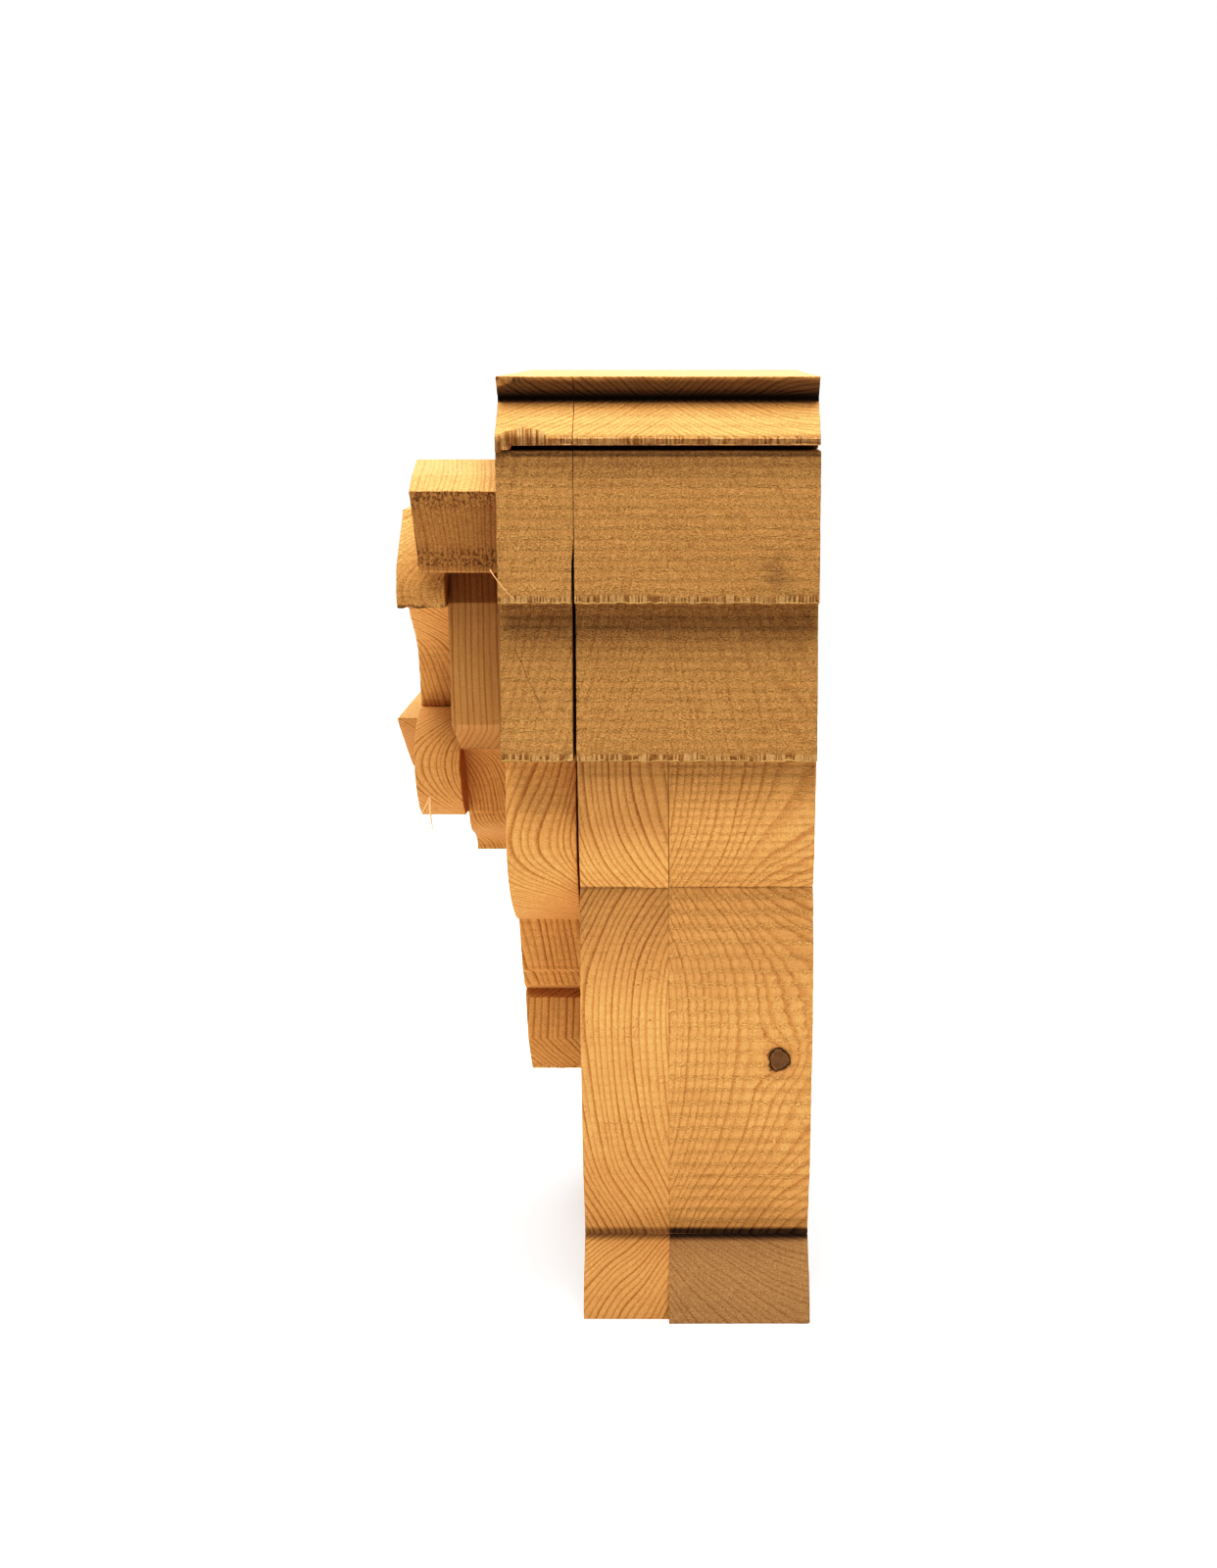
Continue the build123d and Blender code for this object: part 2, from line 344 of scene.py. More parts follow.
def cap_shape(seed, chip=None, splintered=False):
    """The cap's slab, cove and nose: a ragged slab edge, a torn nose and a chip.

    chip is (middle, half width, height) of an arch split off the nose. A splintered cap has a lump of fibres
    and a torn corner at its left end, and no kerf there.
    """
    plain = sawn(seed, band=0.05, rough=0.06, wave=0.15, jag=0.0)

    def shape(x, y, z, front):
        push, lift, back, torn = plain(x, y, z, front)
        top, bottom = z.max(), z.min()
        nose = (z < bottom + NOSE_TALL) & (y < y.min() + NOSE_DEEP)
        fibre = noise(x / 2.2, z / 50, seed + 20) + 0.6 * noise(x / 1.1, z / 30, seed + 21)
        ragged = 0.8 + 0.9 * noise(x / 9, x * 0, seed + 22)
        push = push - nose * front * (0.7 * ragged + 0.35 * fibre)
        torn = np.maximum(torn, nose * front * (0.6 + 0.4 * fibre))
        slab = z > top - SLAB_EDGE
        push = push - slab * front * (0.5 + 0.7 * noise(x / 5, x * 0, seed + 23) + 0.3 * fibre)
        if splintered:
            lump = (x < x.min() + 9) & (z < bottom + 12) & (y < y.min() + 14)
            knobs = noise(x / 3, z / 3, seed + 30) + 0.6 * noise(x / 1.4, z / 1.5, seed + 31)
            push = push + lump * front * (1.0 + 0.8 * knobs)
            torn_end = x.min() + 17 + 6 * noise(z / 4, z * 0, seed + 32)
            corner = (x < torn_end) & (z > top - 15) & (y < y.min() + 14)
            push = push - corner * front * (0.8 + 0.5 * fibre)
            torn = np.maximum(torn, corner * front * (0.6 + 0.4 * fibre))
            raised = (x < x.min() + 14) & (z > top - 1) & (y < y.min() + 22)
            lift = lift + raised * 1.6 * ramp(x.min() + 14 - x, 0, 6)
            kerf_roof = (x < x.min() + 9) & (z < bottom + 3.5) & (y < FACE_Y + 27)
            lift = lift - kerf_roof * (z - bottom)
        if chip:
            middle, half, rise = chip
            arch = rise * np.sqrt(np.clip(1 - ((x - middle) / half) ** 2, 0, 1))
            wall = FACE_Y + 2 + 1.1 * arch + 0.3 * fibre
            under = (arch > 0.3) & (z < NOSE_TOP + 0.3 + arch) & (y < wall) & (front > 0)
            back = np.where(under, wall - y, 0.0)
            push = np.where(under, 0.0, push)
            torn = np.where(under, 0.85 + 0.15 * fibre, torn)
        return push, lift, back, np.clip(torn, 0, 1)

    return shape


def cap_shade(x, y, z, front):
    """The slab's front carries painted shade, darkest in the cove under it where it turns nearly black, with
    a pale top edge and torn left corner, and a darker nose.
    """
    top = z.max()
    pale_edge = top - EDGE_HIGH + 1.2 * noise(x / 7, x * 0, 61)
    band = ramp(z, top - COVE_LOW, top - COVE_HIGH) * (1 - ramp(z, top - EDGE_LOW, pale_edge))
    facet = ramp(-36 - x, 0, 5) * ramp(z - (top - 12.5 + 0.38 * (x + 56)), 0, 1.5)
    nose = 0.45 * (1 - ramp(z, z.min() + 6.5, z.min() + NOSE_TALL))
    deep = 0.84 + 0.58 * (1 - ramp(z, top - 17.5, top - 10))
    return front * np.clip(band * (1 - 0.75 * facet) * deep + nose, 0, 1.4)


def top_shade(x, y, z, front):
    """Painted shadow: the upper course is darker just under the nose, where the nose's shadow falls, with a
    thin dark line beside the open joint.
    """
    below = z.max() - z
    rim = 0.40 * (1 - ramp(below, 1.4, 1.9))
    line = rim + 0.85 * ramp(below, 1.4, 2.0) * (1 - ramp(below, 2.6, 3.6))
    return front * np.maximum(line * (x > KERF_END), 0.32 * (1 - ramp(below, 2, 26)))


def middle_shade(x, y, z, front):
    """Painted shadow: the middle course is darker over its upper third, under the overhang of the course
    above.
    """
    return front * (0.22 * ramp(z, 418, 440) - 0.22 * ramp(z, 444, 455))


def rising_shade(low, high, strength):
    """Painted shade: wood that darkens upwards between two heights, as the light on it falls off."""

    def shade(x, y, z, front):
        return front * strength * ramp(z, low, high)

    return shade


def foot_crease_shade(strength, low=240.0, high=330.0, upper=0.0):
    """Painted shade in the crease above a foot, and painted shade that darkens the wood by upper from the
    height low to high.
    """

    def shade(x, y, z, front):
        above = z - FOOT_TOP
        core = (1 - ramp(above, 2.5, 7.0)) * ramp(above, -4.0, -0.5)
        tail = 0.28 * (1 - ramp(above, 4.0, 24.0)) * (above > 0)
        return front * (np.maximum(strength * core, tail * min(strength, 1)) + upper * ramp(z, low, high))

    return shade


# ---------------------------------------------------------------- materials


class Graph:
    """A short way to write a material's nodes."""

    def __init__(self, name):
        self.material = bpy.data.materials.new(name)
        self.material.use_nodes = True
        self.tree = self.material.node_tree
        self.tree.nodes.clear()

    def node(self, kind, **settings):
        made = self.tree.nodes.new(kind)
        for key, value in settings.items():
            setattr(made, key, value)
        return made

    def put(self, value, socket):
        if isinstance(value, bpy.types.NodeSocket):
            self.tree.links.new(value, socket)
        else:
            socket.default_value = value

    def math(self, operation, a, b=0.0, c=0.0, clamp=False):
        made = self.node("ShaderNodeMath", operation=operation, use_clamp=clamp)
        for value, socket in zip((a, b, c), made.inputs):
            self.put(value, socket)
        return made.outputs[0]

    def vector(self, operation, a, b=(0, 0, 0)):
        made = self.node("ShaderNodeVectorMath", operation=operation)
        self.put(a, made.inputs[0])
        self.put(b, made.inputs[1])
        return made.outputs["Value" if operation in ("LENGTH", "DOT_PRODUCT") else "Vector"]

    def noise(self, where, scale, detail=2.0, roughness=0.5, stretch=(1, 1, 1)):
        stretched = self.vector("MULTIPLY", where, stretch)
        made = self.node("ShaderNodeTexNoise")
        self.put(stretched, made.inputs["Vector"])
        made.inputs["Scale"].default_value = scale
        made.inputs["Detail"].default_value = detail
        made.inputs["Roughness"].default_value = roughness
        return made.outputs["Fac"]

    def range(self, value, low, high, to_low=0.0, to_high=1.0, smooth=True):
        made = self.node("ShaderNodeMapRange", interpolation_type="SMOOTHSTEP" if smooth else "LINEAR")
        self.put(value, made.inputs["Value"])
        for key, number in zip(("From Min", "From Max", "To Min", "To Max"), (low, high, to_low, to_high)):
            made.inputs[key].default_value = number
        return made.outputs["Result"]

    def mix(self, share, a, b, blend="MIX"):
        made = self.node("ShaderNodeMix", data_type="RGBA", blend_type=blend)
        self.put(share, made.inputs["Factor"])
        self.put(a if isinstance(a, bpy.types.NodeSocket) else (*a, 1), made.inputs[6])
        self.put(b if isinstance(b, bpy.types.NodeSocket) else (*b, 1), made.inputs[7])
        return made.outputs[2]


EARLY = (0.64, 0.335, 0.120)  # the pale wood between the lines
LATE = (0.33, 0.120, 0.030)  # the dark lines
TORN_PALE = (0.82, 0.48, 0.17)
# dark saw marks, pits and fibres, also the painted shadow under the pale dots
SAW_DARK_AND_SHADOW = (0.23, 0.085, 0.015)
COMB_PALE = (0.74, 0.45, 0.20)  # torn fibres at a lower edge
POCK_DARK = (0.10, 0.045, 0.012)
SHADED, SHADED_LINE = (0.085, 0.038, 0.012), (0.018, 0.007, 0.003)  # painted shade on the dark fronts, and the lines in them
# painted near-black shade in the deepest creases
DEEPEST_SHADE = (0.004, 0.002, 0.001)
# the dull tint of end grain, used also as painted shade on a front facing down
END_GRAIN_AND_SHADE = (0.42, 0.34, 0.26)
STAIN = (0.15, 0.085, 0.03)
CRACK = (0.05, 0.02, 0.008)
KNOT_HALO, KNOT_HEART, KNOT_RIM = (0.33, 0.15, 0.05), (0.14, 0.07, 0.03), (0.012, 0.006, 0.003)
EULER = 2.718
SPECKS = {"scale": 1.5, "detail": 2.0, "roughness": 0.65, "stretch": (0.62, 0.5, 1.0)}
DOTS = {"scale": 0.95, "detail": 1.0, "roughness": 0.5, "stretch": (0.7, 0.5, 1.1)}


def wood(
    name,
    pith,
    pitch=2.2,
    tone=1.0,
    grey=0.0,
    ring=0.55,
    saw=0.3,
    pits=0.2,
    fuzz=0.4,
    sway=1.6,
    row=5.3,
    knot=None,
    crack=None,
    stain=None,
    end_grain_and_shade=0.0,
    pocks=None,
):
    """Solid softwood in the row's own space: rings round an upright pith at (x, y) mm, and saw marks.

    pitch is the mean width of a ring, sway how far the rings wander, row the spacing of the saw marks in mm.
    ring, saw, pits and fuzz are the strengths of the lines, saw marks, pits and loose fibres.
    tone is the brightness, which on some blocks also paints light and shade, and grey how weathered the wood
    is.
    knot and stain are (middle, size). crack is (upper end, slope, length) of a dark split.
    end_grain_and_shade is how dull and dark the front faces turn, as end grain and as painted shade, and
    pocks the (middle, half height) of a band of dark pits.
    """
    g = Graph(name)
    place = g.node("ShaderNodeTexCoord").outputs["Object"]
    mm = g.vector("SCALE", place)
    mm.node.inputs["Scale"].default_value = 1 / MM

    # rings
    split = g.node("ShaderNodeSeparateXYZ")
    g.put(mm, split.inputs[0])
    x, y, z = split.outputs
    slow = g.noise(mm, 0.013, 1.0, stretch=(1, 1, 0.35))
    slower = g.noise(g.vector("ADD", mm, (310, 90, 40)), 0.03, 1.0, stretch=(1, 1, 0.25))
    warp = g.math("MULTIPLY", g.math("SUBTRACT", slow, 0.5), 9.0 * sway)
    warp = g.math("ADD", warp, g.math("MULTIPLY", g.math("SUBTRACT", slower, 0.5), 3.0 * sway))
    flat = g.node("ShaderNodeCombineXYZ")
    g.put(g.math("SUBTRACT", x, pith[0]), flat.inputs[0])
    g.put(g.math("SUBTRACT", y, pith[1]), flat.inputs[1])
    radius = g.math("ADD", g.vector("LENGTH", flat.outputs[0]), warp)
    hole = None
    if knot:
        middle, size = knot
        away = g.vector("SUBTRACT", mm, middle)
        away = g.vector("MULTIPLY", away, (1 / size, 0.0, 0.95 / size))
        away = g.vector("LENGTH", away)
        wobble = g.math("MULTIPLY", g.math("SUBTRACT", g.noise(mm, 0.16, 2.0), 0.5), 0.9)
        away = g.math("ADD", away, wobble)
        swirl = g.math("POWER", EULER, g.math("MULTIPLY", g.math("MULTIPLY", away, away), -0.22))
        radius = g.math("ADD", radius, g.math("MULTIPLY", swirl, 4.0))
        hole = away
    count = g.math("DIVIDE", radius, pitch)
    uneven = g.node("ShaderNodeTexNoise", noise_dimensions="1D")
    g.put(count, uneven.inputs["W"])
    uneven.inputs["Scale"].default_value = 0.33
    uneven.inputs["Detail"].default_value = 1.0
    count = g.math("ADD", count, g.math("MULTIPLY", uneven.outputs["Fac"], 1.1))
    phase = g.math("FRACT", count)
    rise = g.range(phase, 0.35, 0.86)
    fall = g.range(phase, 0.90, 1.0, 1.0, 0.0)
    line = g.math("MULTIPLY", g.math("POWER", rise, 1.7), fall)
    strength = g.node("ShaderNodeTexNoise", noise_dimensions="1D")
    g.put(g.math("ADD", count, 50.0), strength.inputs["W"])
    strength.inputs["Scale"].default_value = 0.9
    line = g.math("MULTIPLY", line, g.range(strength.outputs["Fac"], 0.3, 0.7, 0.55, 1.1))
    fibre = g.noise(mm, 0.9, 2.0, 0.6, stretch=(1, 1, 0.05))
    fleck = g.noise(mm, 0.35, 3.0, 0.6, stretch=(1, 1, 0.12))
    patch = g.noise(mm, 0.018, 2.0)
    colour = g.mix(g.math("MULTIPLY", line, ring), EARLY, LATE)
    colour = g.mix(g.range(fibre, 0.35, 0.75, 0.0, 0.22), colour, LATE)
    colour = g.mix(g.range(fleck, 0.5, 0.8, 0.0, 0.25), colour, TORN_PALE)
    colour = g.mix(g.range(patch, 0.3, 0.7, 0.0, 0.16), colour, LATE)

    # saw marks: level lines a few millimetres apart, broken up, with small torn dashes along them, and a
    # painted shadow just under each pale dot
    wander = g.math("MULTIPLY", g.noise(mm, 0.012, 1.0), 0.3)
    beat = g.math("FRACT", g.math("ADD", g.math("DIVIDE", z, row), wander))
    off_row = g.math("ABSOLUTE", g.math("SUBTRACT", beat, 0.5))
    near_row = g.math("SUBTRACT", 1.0, g.math("MULTIPLY", off_row, 2.0))
    broken = g.noise(mm, 0.8, 2.0, 0.6, stretch=(0.45, 0.3, 0.7))
    row_line = g.range(near_row, 1.0 - 1.1 / row, 1.0)
    row_line = g.math("MULTIPLY", row_line, g.range(broken, 0.52, 0.64, 0.0, 0.45))
    dash = g.noise(mm, **SPECKS)
    close = g.math("MULTIPLY", near_row, 0.07)
    scratch = g.range(g.math("ADD", dash, close), 0.60, 0.72)
    light_dash = g.noise(g.vector("ADD", mm, (70, 0, 13.4)), **SPECKS)
    flick = g.range(g.math("ADD", light_dash, close), 0.60, 0.72)
    scratch = g.math("MAXIMUM", scratch, row_line)
    dots = g.noise(g.vector("ADD", mm, (20, 0, 5)), **DOTS)
    dots = g.math("MULTIPLY", g.range(dots, 0.50, 0.58), g.range(near_row, 0.50, 0.80))
    # painted shadow: the dots' pattern moved 0.8 mm down and painted dark
    painted_dot_shadow = g.noise(g.vector("ADD", mm, (20, 0, 5.8)), **DOTS)
    painted_dot_shadow = g.math("MULTIPLY", g.range(painted_dot_shadow, 0.52, 0.58), g.range(near_row, 0.40, 0.70))
    level = g.noise(mm, 1.2, 2.0, 0.6, stretch=(0.09, 0.2, 1.0))
    colour = g.mix(g.range(level, 0.42, 0.66, 0.0, 0.12 * saw), colour, SAW_DARK_AND_SHADOW)
    colour = g.mix(g.math("MULTIPLY", scratch, 0.45 * saw), colour, SAW_DARK_AND_SHADOW)
    colour = g.mix(g.math("MULTIPLY", flick, 0.75 * saw), colour, TORN_PALE)
    colour = g.mix(g.math("MULTIPLY", painted_dot_shadow, 0.45 * saw), colour, SAW_DARK_AND_SHADOW)
    colour = g.mix(g.math("MULTIPLY", dots, 0.80 * saw), colour, TORN_PALE)

    # pits and fuzz
    grain = g.noise(mm, 1.5, 2.0, 0.6, stretch=(1, 1, 0.5))
    pit = g.math("MULTIPLY", g.range(grain, 0.62, 0.72), g.range(g.noise(mm, 0.05, 1.0), 0.42, 0.6))
    colour = g.mix(g.math("MULTIPLY", pit, pits), colour, SAW_DARK_AND_SHADOW)
    fuzzy = g.noise(mm, 1.5, 3.0, 0.7, stretch=(0.6, 1, 1))
    colour = g.mix(g.range(fuzzy, 0.50, 0.64, 0.0, 0.60 * fuzz), colour, TORN_PALE)
    colour = g.mix(g.range(fuzzy, 0.36, 0.50, 0.55 * fuzz, 0.0), colour, SAW_DARK_AND_SHADOW)

    facing = g.node("ShaderNodeSeparateXYZ")
    g.put(g.node("ShaderNodeTexCoord").outputs["Normal"], facing.inputs[0])
    faces_front = g.range(g.math("ABSOLUTE", facing.outputs[1]), 0.55, 0.95)
    if pocks:
        middle, half = pocks
        seed = g.noise(mm, 0.75, 1.0, 0.5, stretch=(1.0, 0.3, 0.7))
        away = g.math("ABSOLUTE", g.math("SUBTRACT", z, middle))
        share = g.range(away, half * 0.3, half * 0.6, 0.1, 1.0)
        share = g.math("MULTIPLY", share, g.range(away, half - 6, half - 3, 1.0, 0.0))
        pock = g.math("MULTIPLY", g.math("MULTIPLY", g.range(seed, 0.53, 0.61), share), faces_front)
        colour = g.mix(g.math("MULTIPLY", pock, 0.75), colour, POCK_DARK)
        pit = g.math("MAXIMUM", pit, pock)

    # torn fibres at the lower edges
    torn = g.node("ShaderNodeAttribute", attribute_name="torn").outputs["Fac"]
    comb = g.noise(mm, 0.8, 2.0, 0.6, stretch=(1, 0.3, 0.04))
    comb_colour = g.mix(g.range(comb, 0.42, 0.58), SAW_DARK_AND_SHADOW, COMB_PALE)
    colour = g.mix(g.math("MULTIPLY", torn, 0.85, clamp=True), colour, comb_colour)
    colour = g.mix(g.range(torn, 1.0, 1.3), colour, TORN_PALE)

    # painted shade on the fronts, end grain with painted shade, a stain, a crack and a knot
    dark = g.node("ShaderNodeAttribute", attribute_name="dark").outputs["Fac"]
    # painted shade from the dark attribute: dark brown up to 1, nearly black beyond
    colour = g.mix(g.math("MINIMUM", dark, 1.0), colour, g.mix(line, SHADED, SHADED_LINE))
    colour = g.mix(g.range(dark, 1.0, 1.4, 0.0, 0.97), colour, DEEPEST_SHADE)
    # end grain and painted shade: front-facing surfaces dulled and darkened
    if end_grain_and_shade:
        duller = g.mix(1.0, colour, END_GRAIN_AND_SHADE, blend="MULTIPLY")
        colour = g.mix(g.math("MULTIPLY", faces_front, end_grain_and_shade), colour, duller)
    if stain:
        middle, size = stain
        near = g.vector("MULTIPLY", g.vector("SUBTRACT", mm, middle), (1 / size, 0, 1 / size))
        ragged = g.math("MULTIPLY", g.math("SUBTRACT", g.noise(mm, 0.13, 3.0), 0.5), 3.4)
        ragged = g.math("ADD", g.vector("LENGTH", near), ragged)
        colour = g.mix(g.range(ragged, 0.1, 1.0, 0.33, 0.0), colour, STAIN)
    if crack:
        (start, _, upper), slope, reach = crack
        slant = g.math("MULTIPLY", g.math("SUBTRACT", z, upper), slope)
        off = g.math("SUBTRACT", g.math("SUBTRACT", x, start), slant)
        bends = g.math("MULTIPLY", g.math("SUBTRACT", g.noise(mm, 0.12, 2.0), 0.5), 3.0)
        thin = g.range(g.math("ABSOLUTE", g.math("ADD", off, bends)), 0.1, 0.45, 1.0, 0.0)
        along = g.range(z, upper - reach, upper - reach + 8)
        along = g.math("MULTIPLY", along, g.range(z, upper - 4, upper, 1.0, 0.0))
        colour = g.mix(g.math("MULTIPLY", g.math("MULTIPLY", thin, along), 0.5), colour, CRACK)
    height = g.math("MULTIPLY", line, 0.25)
    if hole:
        heart = g.range(hole, 0.62, 0.8, 1.0, 0.0)
        rim = g.math("MULTIPLY", g.range(hole, 0.66, 0.84), g.range(hole, 0.84, 1.08, 1.0, 0.0))
        halo = g.range(hole, 0.9, 2.0, 0.45, 0.0)
        colour = g.mix(halo, colour, KNOT_HALO)
        colour = g.mix(heart, colour, KNOT_HEART)
        colour = g.mix(g.math("MULTIPLY", rim, 0.95), colour, KNOT_RIM)
        height = g.math("SUBTRACT", height, g.math("MULTIPLY", rim, 2.0))
    tint = (tone * (1 - 0.10 * grey), tone * (1 + 0.02 * grey), tone * (1 + 0.45 * grey))
    colour = g.mix(1.0, colour, tint, blend="MULTIPLY")

    # relief and finish
    height = g.math("ADD", height, g.math("MULTIPLY", g.math("SUBTRACT", flick, scratch), 1.1 * saw))
    height = g.math("ADD", height, g.math("MULTIPLY", level, -0.25 * saw))
    height = g.math("ADD", height, g.math("MULTIPLY", dots, 2.2 * saw))
    height = g.math("ADD", height, g.math("MULTIPLY", fuzzy, 2.2 * fuzz))
    height = g.math("ADD", height, g.math("MULTIPLY", fibre, 0.35))
    height = g.math("SUBTRACT", height, g.math("MULTIPLY", pit, 1.6 * pits))
    height = g.math("ADD", height, g.math("MULTIPLY", g.math("MULTIPLY", comb, torn), 1.5))
    bump = g.node("ShaderNodeBump")
    bump.inputs["Strength"].default_value = 1.0
    bump.inputs["Distance"].default_value = 0.0005
    g.put(height, bump.inputs["Height"])
    shader = g.node("ShaderNodeBsdfPrincipled")
    g.put(colour, shader.inputs["Base Color"])
    g.put(g.range(line, 0.0, 1.0, 0.78, 0.62), shader.inputs["Roughness"])
    g.put(bump.outputs[0], shader.inputs["Normal"])
    shader.inputs["Specular IOR Level"].default_value = 0.1
    output = g.node("ShaderNodeOutputMaterial")
    g.put(shader.outputs[0], output.inputs["Surface"])
    return g.material


# ---------------------------------------------------------------- the blocks

LEFT_PITH = (-135.0, 145.0)
RIGHT_PITH = (160.0, 48.0)
OPEN_JOINT = (80.0, 1.8, 600.0)  # depth, width and height of the joint beside the left column
UPPER_JOINT = (80.0, 1.3, 496.0)
WASHBOARD_PITCH = 8.7
WASHBOARD = (0.16, WASHBOARD_PITCH, 165.0, 278.0)

face_looks = {"saw": 0.8, "fuzz": 1.0, "ring": 0.24, "tone": 0.74, "row": 6.0}
middle_looks = {**face_looks, "ring": 0.42, "tone": 0.76}
leg_looks = {"saw": 0.22, "fuzz": 0.35, "ring": 0.95}
# tones differ partly with the wood and partly as painted light and shade: the ledge and foot blocks are
# darkened, and the recess, outer and shin blocks lightened, for how light falls on them
LOOKS = {
    "cap_left": dict(pith=LEFT_PITH, ring=0.7, saw=0.3, fuzz=0.4),
    "cap_middle": dict(pith=LEFT_PITH, ring=0.7, saw=0.3, fuzz=0.4),
    "cap_right": dict(pith=RIGHT_PITH, ring=0.7, saw=0.3, fuzz=0.4),
    "upper_left_block": dict(pith=LEFT_PITH, **face_looks),
    "upper_middle_block": dict(pith=LEFT_PITH, **face_looks),
    "upper_right_block": dict(pith=RIGHT_PITH, stain=((113, FACE_Y, 470), 15.0), **face_looks),
    "middle_left_block": dict(pith=LEFT_PITH, crack=((-44, FACE_Y, 430), -0.42, 44.0), **middle_looks),
    "middle_middle_block": dict(pith=LEFT_PITH, **middle_looks),
    "middle_right_block": dict(pith=RIGHT_PITH, **middle_looks),
    "lower_left_block": dict(pith=LEFT_PITH, tone=1.12, **leg_looks),
    "lower_middle_block": dict(pith=LEFT_PITH, pits=0.6, tone=1.2, **leg_looks),
    "lower_right_block": dict(pith=RIGHT_PITH, sway=0.9, saw=0.5, fuzz=0.45, ring=0.78, tone=1.14),
    "leg_middle": dict(pith=LEFT_PITH, pits=0.9, tone=1.04, **leg_looks),
    "leg_right": dict(
        pith=RIGHT_PITH,
        sway=0.9,
        row=WASHBOARD_PITCH,
        saw=0.6,
        fuzz=0.4,
        ring=0.75,
        tone=1.06,
        knot=((115.5, FACE_Y, 172), 7.4),
    ),
    "foot_middle": dict(pith=LEFT_PITH, ring=0.95, saw=0.15, fuzz=0.35, tone=0.78),
    "foot_right": dict(pith=RIGHT_PITH, sway=0.9, ring=0.6, saw=0.2, fuzz=0.7, grey=0.5, tone=0.56),
    "shin_block": dict(pith=LEFT_PITH, tone=1.18, **leg_looks),
    "heel_block": dict(pith=LEFT_PITH, tone=1.05, **leg_looks),
    "shoulder_block": dict(
        pith=(-480, -112),
        pitch=2.8,
        saw=0.1,
        pits=1.0,
        fuzz=0.7,
        ring=0.7,
        end_grain_and_shade=0.6,
        pocks=(497.5, 29.0),
    ),
    "perch_block": dict(pith=(-250, 160), ring=0.6, saw=0.3, fuzz=0.8),
    "outer_block": dict(pith=(-290, 200), tone=1.25, **leg_looks),
    "bulge_block": dict(pith=(-260, 160), tone=1.05, **leg_looks),
    "ledge_block": dict(pith=(-330, -120), pitch=4.2, saw=0.1, fuzz=0.25, ring=0.7, tone=0.78),
    "recess_block": dict(pith=(-240, 160), tone=1.15, **leg_looks),
    "tail_block": dict(pith=(-240, 160), **leg_looks),
    "nub_block": dict(pith=(-270, 160), **leg_looks),
    "lintel_block": dict(pith=(-240, 160), **leg_looks),
}

CLOSED = 0.27  # mm that a middle block grows to the right, so that its joint with the right block closes
TO_LEFT = dict(edges=(0.25, 0.03), grow=CLOSED)
FROM_MIDDLE = dict(edges=(0.03, 0.7))
MIDDLE_LEG = dict(edges=(0.5, 0.3), worn=0.04)  # sharp outlines, so that their level joints don't show
RIGHT_LEG = dict(edges=(0.3, 0.7), worn=0.04)

